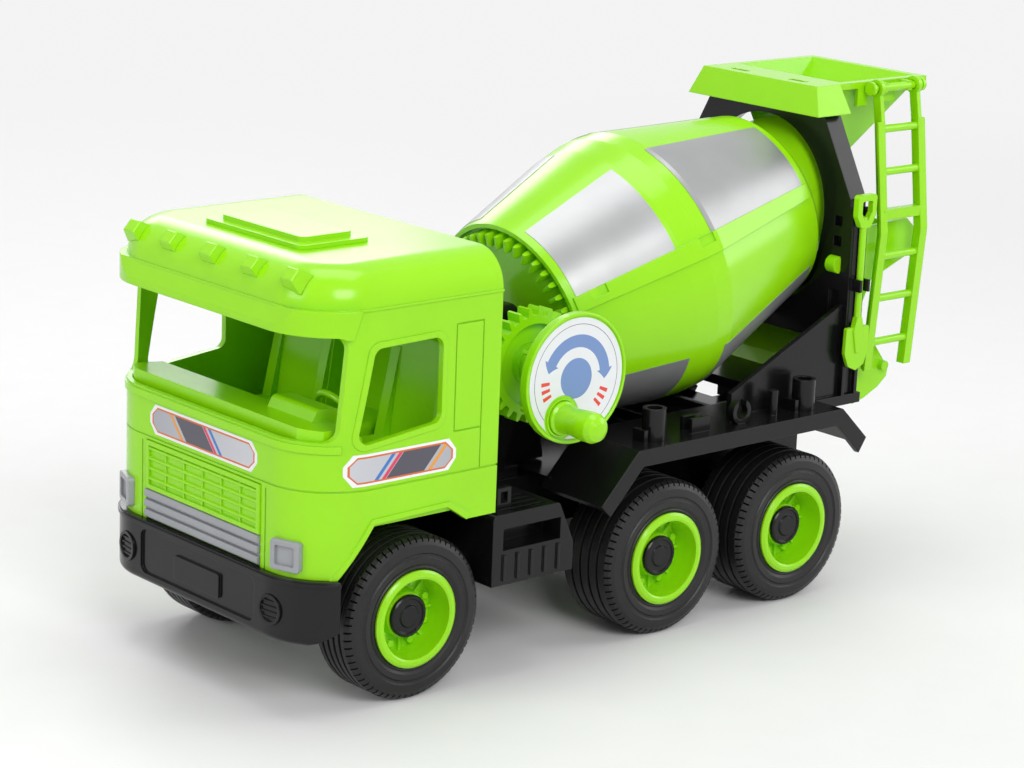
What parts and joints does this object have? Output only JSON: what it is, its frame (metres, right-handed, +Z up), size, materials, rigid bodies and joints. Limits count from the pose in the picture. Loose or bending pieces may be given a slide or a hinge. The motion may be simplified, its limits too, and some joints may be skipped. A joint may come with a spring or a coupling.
{
  "type": "toy cement mixer truck",
  "caption": "Toy cement mixer truck with a tilted drum that turns by a side crank, open cab, hopper, hook-on ladder, clip-on shovel and tilting chute.",
  "frame": {"origin": "centre of the base of the bounding box, on the floor the wheels stand on", "axes": "-X the front of the truck, -Y the crank side, +Z up"},
  "size_m": [0.4172, 0.1838, 0.2464],
  "materials": {
    "body_green": "glossy moulded, lime green",
    "body_black": "glossy moulded, black",
    "tyre_black": "satin moulded rubber",
    "cap_black": "glossy moulded, black",
    "lamp_grey": "silver-grey moulded plastic",
    "foil_grey": "silver-grey printed film",
    "label_print": "printed film with a plain pattern",
    "axle_steel": "plain drawn steel"
  },
  "bodies": {
    "truck": {"chassis_frame": "body_black", "front_bumper": "body_black", "fog_lamps": "body_black", "side_step_left": "body_black", "side_step_right": "body_black", "rear_deck": "body_black", "deck_sockets": "body_black", "drum_pedestal": "body_black", "rear_arch": "body_black", "cab_lower_shell": "body_green", "cab_upper_shell": "body_green", "cab_floor": "body_green", "seat_left": "body_green", "seat_right": "body_green", "dashboard": "body_green", "roof_hatch": "body_green", "marker_lamps": "body_green", "grille": "body_green", "headlights": "lamp_grey", "grille_bar": "lamp_grey", "side_labels": "label_print", "front_label": "label_print", "hopper": "body_green", "chute_collector": "body_green"},
    "drum": {"drum_half_upper": "body_green", "drum_half_lower": "body_green", "drum_spindle": "body_green", "drum_panels_front": "foil_grey", "drum_panels_rear": "foil_grey"},
    "crank": {"crank_disc": "body_green", "crank_pinion": "body_green", "crank_shaft": "body_green", "crank_knob": "body_green", "crank_label": "label_print"},
    "ladder": {"ladder": "body_green"},
    "shovel": {"shovel": "body_green"},
    "chute": {"chute_trough": "body_green"},
    "wheels_front": {"axle_front": "axle_steel", "tyre_front_left": "tyre_black", "tyre_front_right": "tyre_black", "rim_front_left": "body_green", "rim_front_right": "body_green", "hub_cap_front_left": "cap_black", "hub_cap_front_right": "cap_black"},
    "wheels_middle": {"axle_middle": "axle_steel", "tyre_middle_left": "tyre_black", "tyre_middle_right": "tyre_black", "rim_middle_left": "body_green", "rim_middle_right": "body_green", "hub_cap_middle_left": "cap_black", "hub_cap_middle_right": "cap_black"},
    "wheels_rear": {"axle_rear": "axle_steel", "tyre_rear_left": "tyre_black", "tyre_rear_right": "tyre_black", "rim_rear_left": "body_green", "rim_rear_right": "body_green", "hub_cap_rear_left": "cap_black", "hub_cap_rear_right": "cap_black"}
  },
  "joints": [
    {"name": "wheels_front_spin", "type": "hinge", "parent": "truck", "child": "wheels_front", "pos_m": [-0.1446, 0.01, 0.037], "axis": [0, 1, 0], "continuous": true},
    {"name": "wheels_middle_spin", "type": "hinge", "parent": "truck", "child": "wheels_middle", "pos_m": [0.0064, 0.01, 0.037], "axis": [0, 1, 0], "continuous": true},
    {"name": "wheels_rear_spin", "type": "hinge", "parent": "truck", "child": "wheels_rear", "pos_m": [0.0914, 0.01, 0.037], "axis": [0, 1, 0], "continuous": true},
    {"name": "drum_spin", "type": "hinge", "parent": "truck", "child": "drum", "pos_m": [-0.0292, 0.01, 0.1393], "axis": [0.9677, 0, 0.2521], "continuous": true},
    {"name": "crank_spin", "type": "hinge", "parent": "truck", "child": "crank", "pos_m": [-0.05552, -0.05, 0.13245], "axis": [0, 1, 0], "continuous": true},
    {"name": "ladder_swing", "type": "hinge", "parent": "truck", "child": "ladder", "pos_m": [0.1814, -0.0334, 0.242], "axis": [-1, 0, 0], "range_deg": [0, 40]},
    {"name": "chute_tilt", "type": "hinge", "parent": "truck", "child": "chute", "pos_m": [0.1574, 0.01, 0.131], "axis": [0, -1, 0], "range_deg": [0, 40]},
    {"name": "shovel_pull", "type": "slide", "parent": "truck", "child": "shovel", "axis": [0, -1, 0], "range_m": [0, 0.03]}
  ],
  "couplings": [
    {"joint": "crank_spin", "follows": "drum_spin", "ratio": 1.6923}
  ]
}
